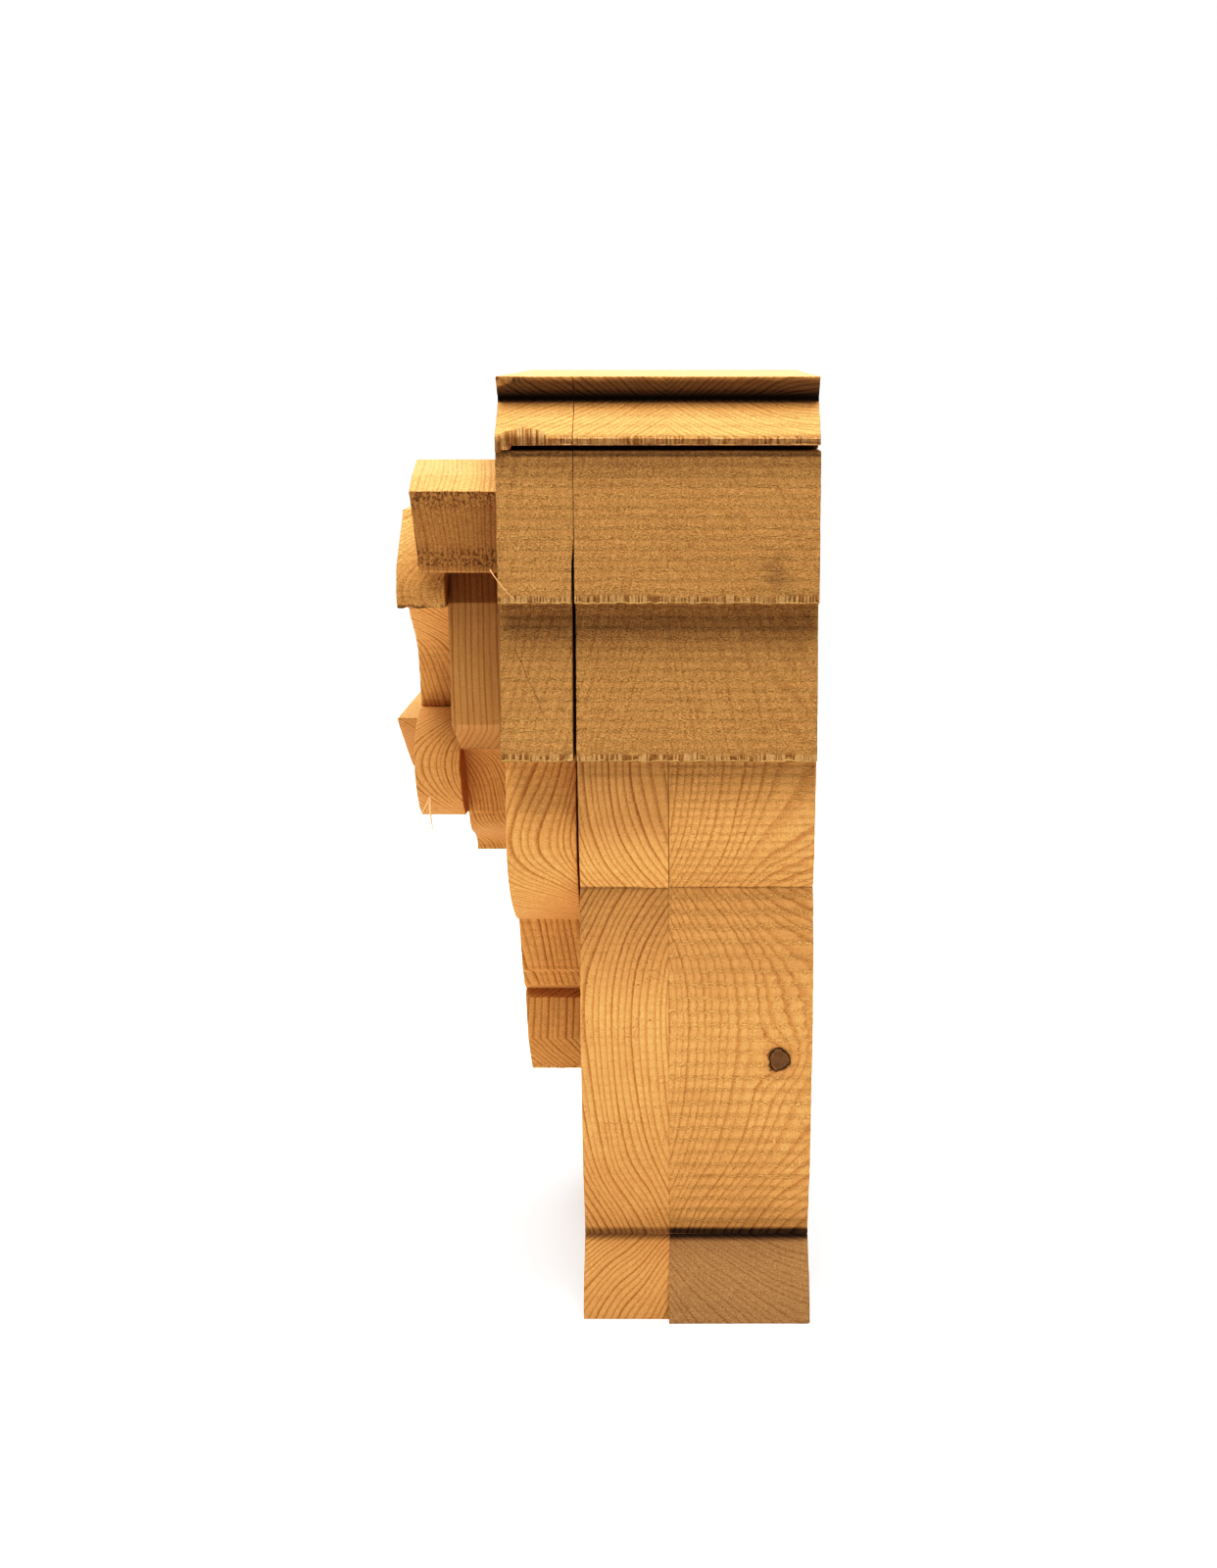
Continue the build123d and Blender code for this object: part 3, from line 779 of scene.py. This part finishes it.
SIDE_LEAN = (240.0, math.tan(math.radians(2.5)))
CHIP = (-35.5, 12.5, 5.5)
SHAPES = {
    "cap_left": dict(
        shape=cap_shape(11, chip=CHIP, splintered=True), high=True, edges=(0.7, 0.25), shade=cap_shade
    ),
    "cap_middle": dict(shape=cap_shape(12), shade=cap_shade, **TO_LEFT),
    "cap_right": dict(shape=cap_shape(13), shade=cap_shade, **FROM_MIDDLE),
    "upper_left_block": dict(
        shape=sawn(21, fringe=0.5, band=0.035), edges=(0.7, 0.2), relief=UPPER_JOINT, shade=top_shade
    ),
    "upper_middle_block": dict(shape=sawn(22, fringe=0.5, band=0.035), shade=top_shade, **TO_LEFT),
    "upper_right_block": dict(shape=sawn(23, fringe=0.5, band=0.035), shade=top_shade, **FROM_MIDDLE),
    "middle_left_block": dict(shape=sawn(31, fringe=0.4, band=0.035), shade=middle_shade, relief=OPEN_JOINT),
    "middle_middle_block": dict(
        shape=sawn(32, fringe=0.4, band=0.035), shade=middle_shade, edges=(0.5, 0.03), grow=CLOSED
    ),
    "middle_right_block": dict(shape=sawn(33, fringe=0.4, band=0.035), shade=middle_shade, **FROM_MIDDLE),
    "lower_left_block": dict(shape=sawn(41, band=0.04, rough=0.03), relief=OPEN_JOINT),
    "lower_middle_block": dict(
        shape=sawn(42, band=0.04, rough=0.05, jag=0.0), shade=rising_shade(292, 328, 0.40), **MIDDLE_LEG
    ),
    "lower_right_block": dict(
        shape=sawn(43, band=0.06, rough=0.05, band_pitch=4.5, jag=0.0, sink=CLOSED),
        shade=rising_shade(312, 352, 0.30),
        **RIGHT_LEG,
    ),
    "leg_middle": dict(
        shape=sawn(51, band=0.04, rough=0.05, jag=0.0), shade=foot_crease_shade(0.7, 200, 262, 0.42), **MIDDLE_LEG
    ),
    "leg_right": dict(
        shape=sawn(53, band=0.05, rough=0.04, washboard=WASHBOARD, jag=0.0),
        shade=foot_crease_shade(1.12, 185, 262, 0.26),
        **RIGHT_LEG,
    ),
    "foot_middle": dict(
        shape=sawn(61, band=0.05, rough=0.04), edges=(0.5, 0.12), worn=0.3, shade=foot_crease_shade(0.7)
    ),
    "foot_right": dict(
        shape=sawn(62, band=0.05, rough=0.05), edges=(0.12, 1.5), worn=0.3, shade=foot_crease_shade(1.12)
    ),
    "shin_block": dict(shape=sawn(71, band=0.05, rough=0.04), lean=SIDE_LEAN, high=True),
    "heel_block": dict(
        shape=sawn(72, band=0.05, rough=0.04, fringe=0.4, fringe_height=3.0), lean=SIDE_LEAN, high=True
    ),
    "lintel_block": dict(shape=sawn(89, band=0.05, rough=0.04)),
    "shoulder_block": dict(shape=sawn(81, band=0.03, rough=0.08, wave=0.35, jag=0.0, sink=-0.15)),
    "perch_block": dict(shape=sawn(82, band=0.04, rough=0.06, fringe=0.8, fringe_height=3.0)),
    "outer_block": dict(shape=sawn(83, band=0.05, rough=0.04)),
    "bulge_block": dict(shape=sawn(84, band=0.05, rough=0.04)),
    "ledge_block": dict(shape=sawn(85, band=0.03, rough=0.02)),
    "recess_block": dict(shape=sawn(86, band=0.05, rough=0.04)),
    "tail_block": dict(shape=sawn(87, band=0.05, rough=0.04)),
    "nub_block": dict(shape=sawn(88, band=0.05, rough=0.04)),
}

body_of = {node: body for body, nodes in frame["record"]["behaviour"]["bodies"].items() for node in nodes}

# dowel holes that show when a block is pulled off: seam, side, depth and (distance behind the front, height)
HOLES = {
    "shin_block": (-7.5, -1, 15.0, [(165, 212), (235, 212)]),
    "heel_block": (-7.5, -1, 15.0, [(165, 154), (235, 154)]),
    "nub_block": (-120.5, -1, 10.0, [(205, 340), (245, 340)]),
    "shoulder_block": (-52.5, -1, 15.0, [(40, 505)]),
}


BORE_RADIUS = 0.00505  # m
OVERSHOOT = 4  # mm of each drill outside the block


def bored(made, seam, side, depth, places):
    """Cuts round holes into a block from the seam plane at x = seam."""
    bm = bmesh.new()
    reach = depth + OVERSHOOT
    for back, up in places:
        middle = ((seam - side * OVERSHOOT + side * reach / 2) * MM, (FACE_Y + back) * MM, up * MM)
        bmesh.ops.create_cone(
            bm,
            cap_ends=True,
            segments=40,
            radius1=BORE_RADIUS,
            radius2=BORE_RADIUS,
            depth=reach * MM,
            matrix=Matrix.Translation(middle) @ Matrix.Rotation(math.pi / 2, 4, "Y"),
        )
    mesh = bpy.data.meshes.new("drill")
    bm.to_mesh(mesh)
    bm.free()
    drill = bpy.data.objects.new("drill", mesh)
    bpy.context.scene.collection.objects.link(drill)
    cut = made.modifiers.new("bore", "BOOLEAN")
    cut.operation = "DIFFERENCE"
    cut.object = drill
    cut.solver = "FLOAT" if "FLOAT" in cut.bl_rna.properties["solver"].enum_items else "FAST"
    bpy.context.view_layer.update()
    solid = bpy.data.meshes.new_from_object(made.evaluated_get(bpy.context.evaluated_depsgraph_get()))
    made.modifiers.clear()
    made.data = solid
    bpy.data.objects.remove(drill)


for node, how in SHAPES.items():
    made = block_mesh("sawn_" + node, node, **how)
    if node in HOLES:
        bored(made, *HOLES[node])
    made.data.materials.append(wood("wood_" + node, **LOOKS[node]))
    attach(made, body_of[node])
    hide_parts(node)


def wisp(name, start, bend, tip, radius, body):
    """One loose wood fibre, a thin tapered tube along a bent line in row millimetres."""
    start, bend, tip = (np.array(p, float) for p in (start, bend, tip))
    steps, around = 14, 6
    verts, faces = [], []
    for k in range(steps):
        t = k / (steps - 1)
        at = start * (1 - t) ** 2 + bend * 2 * t * (1 - t) + tip * t * t
        thick = radius * (1 - 0.75 * t)
        for a in np.arange(around) * 2 * math.pi / around:
            verts.append((at + thick * np.array((math.cos(a), math.sin(a), 0.3 * math.cos(a)))) * MM)
    for k in range(steps - 1):
        for a in range(around):
            b = (a + 1) % around
            faces.append((k * around + a, k * around + b, (k + 1) * around + b, (k + 1) * around + a))
    faces.append(tuple(range(around))[::-1])
    faces.append(tuple((steps - 1) * around + a for a in range(around)))
    mesh = bpy.data.meshes.new(name)
    mesh.from_pydata([tuple(v) for v in verts], [], faces)
    mesh.polygons.foreach_set("use_smooth", np.ones(len(mesh.polygons), bool))
    made = bpy.data.objects.new(name, mesh)
    bpy.context.scene.collection.objects.link(made)
    made.data.materials.append(fibre_wood)
    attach(made, body)


fibre_wood = wood("wood_fibre", pith=(0, 0), ring=0.0, saw=0.0, pits=0.0, fuzz=0.2, tone=1.5, grey=0.8)
WISPS = [  # start, bend and tip as (x, z), and the thickness
    ((-110.8, 316), (-113, 309), (-118, 303), 1.0),
    ((-117.5, 303.5), (-122, 296), (-126.6, 288.6), 0.4),
    ((-110.8, 316), (-110, 306), (-108.3, 297), 1.2),
    ((-109.5, 300), (-113, 286), (-120.3, 271), 0.4),
    ((-108.3, 298), (-109, 290), (-110.8, 281), 0.35),
]
WISP_BACK, ROOT_BACK = 97, 105  # mm behind the main face: the fibres, and the roots of the thick ones
for k, (start, bend, tip, thick) in enumerate(WISPS):
    backs = (ROOT_BACK if thick > 0.9 else WISP_BACK, WISP_BACK, WISP_BACK)
    bent = [(x, FACE_Y + back, z) for (x, z), back in zip((start, bend, tip), backs)]
    wisp(f"wisp_{k}", *bent, thick, body_of["bulge_block"])
stray = [(-56.5, -0.5, 476), (-50.5, -3.0, 466), (-40, -3.5, 456.6)]  # one fibre across the open joint
wisp("wisp_edge", *[(x, FACE_Y + back, z) for x, back, z in stray], 0.3, body_of["upper_left_block"])

dowel_wood = wood("wood_dowel", pith=(0, 0), pitch=1.2, ring=0.25, saw=0.05, pits=0.0, fuzz=0.1, tone=1.1)
for node in ("dowels_leg", "dowels_bracket", "dowel_shoulder", "dowels_nub"):
    for slot in frame["nodes"][node].material_slots:
        slot.material = dowel_wood

# ---------------------------------------------------------------- stage, light and camera


def softbox(name, place, aim, size, power):
    """A rectangular area light that the camera doesn't see, in metres and watts."""
    light = bpy.data.lights.new(name, "AREA")
    light.shape = "RECTANGLE"
    light.size, light.size_y = size
    light.energy = power
    made = bpy.data.objects.new(name, light)
    made.location = place
    made.visible_camera = False
    made.rotation_mode = "QUATERNION"
    made.rotation_quaternion = (Vector(aim) - Vector(place)).to_track_quat("-Z", "Y")
    bpy.context.scene.collection.objects.link(made)


REACH = 2.0
floor_mesh = bpy.data.meshes.new("floor")
corners = [(-REACH, -REACH, 0), (REACH, -REACH, 0), (REACH, REACH, 0), (-REACH, REACH, 0)]
floor_mesh.from_pydata(corners, [], [(0, 1, 2, 3)])
floor = bpy.data.objects.new("floor", floor_mesh)
bpy.context.scene.collection.objects.link(floor)
paper = Graph("paper")
paper_shader = paper.node("ShaderNodeBsdfPrincipled")
paper_shader.inputs["Base Color"].default_value = (0.72, 0.72, 0.72, 1)
paper_shader.inputs["Roughness"].default_value = 0.9
paper.put(paper_shader.outputs[0], paper.node("ShaderNodeOutputMaterial").inputs["Surface"])
floor_mesh.materials.append(paper.material)

softbox("overhead", place=(0.0, -0.50, 1.75), aim=(0.0, -0.05, 0.4), size=(1.5, 0.8), power=42)
softbox("bounce", place=(0.05, -0.46, 0.012), aim=(0.05, -0.12, 0.40), size=(0.9, 0.4), power=2.6)
softbox("back_floor", place=(0.0, 1.1, 1.5), aim=(0.0, 1.3, 0.0), size=(2.4, 1.0), power=70)

world = bpy.data.worlds.new("studio")
world.use_nodes = True
sky = world.node_tree


def sky_node(kind, **settings):
    made = sky.nodes.new(kind)
    for key, value in settings.items():
        setattr(made, key, value)
    return made


def sky_band(output, low, high, amount):
    """Light that grows to amount as the direction's output passes from low to high."""
    band = sky_node("ShaderNodeMapRange", interpolation_type="SMOOTHSTEP")
    sky.links.new(output, band.inputs["Value"])
    for key, number in zip(("From Min", "From Max", "To Max"), (low, high, amount)):
        band.inputs[key].default_value = number
    return band.outputs[0]


# the white sweep: bright below and behind, dim at the front, and plain white where the camera sees it
DIM, BELOW, BEHIND, ABOVE = 0.06, 1.0, 0.8, 0.3
direction = sky_node("ShaderNodeSeparateXYZ")
sky.links.new(sky_node("ShaderNodeTexCoord").outputs["Generated"], direction.inputs[0])
total = None
for band in (
    sky_band(direction.outputs[2], 0.05, -0.45, BELOW),
    sky_band(direction.outputs[2], 0.2, 0.9, ABOVE),
    sky_band(direction.outputs[1], 0.1, 0.9, BEHIND),
):
    added = sky_node("ShaderNodeMath", operation="ADD")
    sky.links.new(band, added.inputs[0])
    added.inputs[1].default_value = DIM
    if total is not None:
        sky.links.new(total, added.inputs[1])
    total = added.outputs[0]
seen = sky_node("ShaderNodeMix", data_type="FLOAT")
sky.links.new(sky_node("ShaderNodeLightPath").outputs["Is Camera Ray"], seen.inputs["Factor"])
sky.links.new(total, seen.inputs[2])
seen.inputs[3].default_value = 1.0
sky.links.new(seen.outputs[0], sky.nodes["Background"].inputs["Strength"])
sky.nodes["Background"].inputs["Color"].default_value = (1, 1, 1, 1)
bpy.context.scene.world = world

# a contrasty finish: deep shadows and bright tops
look = bpy.context.scene.view_settings
look.view_transform = "Standard"
look.use_curve_mapping = True
CONTRAST = ((0.03, 0.016), (0.10, 0.078), (0.22, 0.225), (0.40, 0.46), (0.65, 0.79))
for value, shown in CONTRAST:
    look.curve_mapping.curves[3].points.new(value, shown)
look.curve_mapping.update()

CAMERA_X = 0.0606
CAMERA_BACK = 1.087  # in front of the main face
CAMERA_HEIGHT = 0.588
PITCH = math.radians(12.46)
camera_data = bpy.data.cameras.new("camera")
camera_data.sensor_width = 36.0
camera_data.lens = 42.75
camera_data.shift_x = -0.0525
camera = bpy.data.objects.new("camera", camera_data)
camera.location = (CAMERA_X, FACE_Y * MM - CAMERA_BACK, CAMERA_HEIGHT)
camera.rotation_euler = (math.pi / 2 - PITCH, 0, 0)
bpy.context.scene.collection.objects.link(camera)
bpy.context.scene.camera = camera
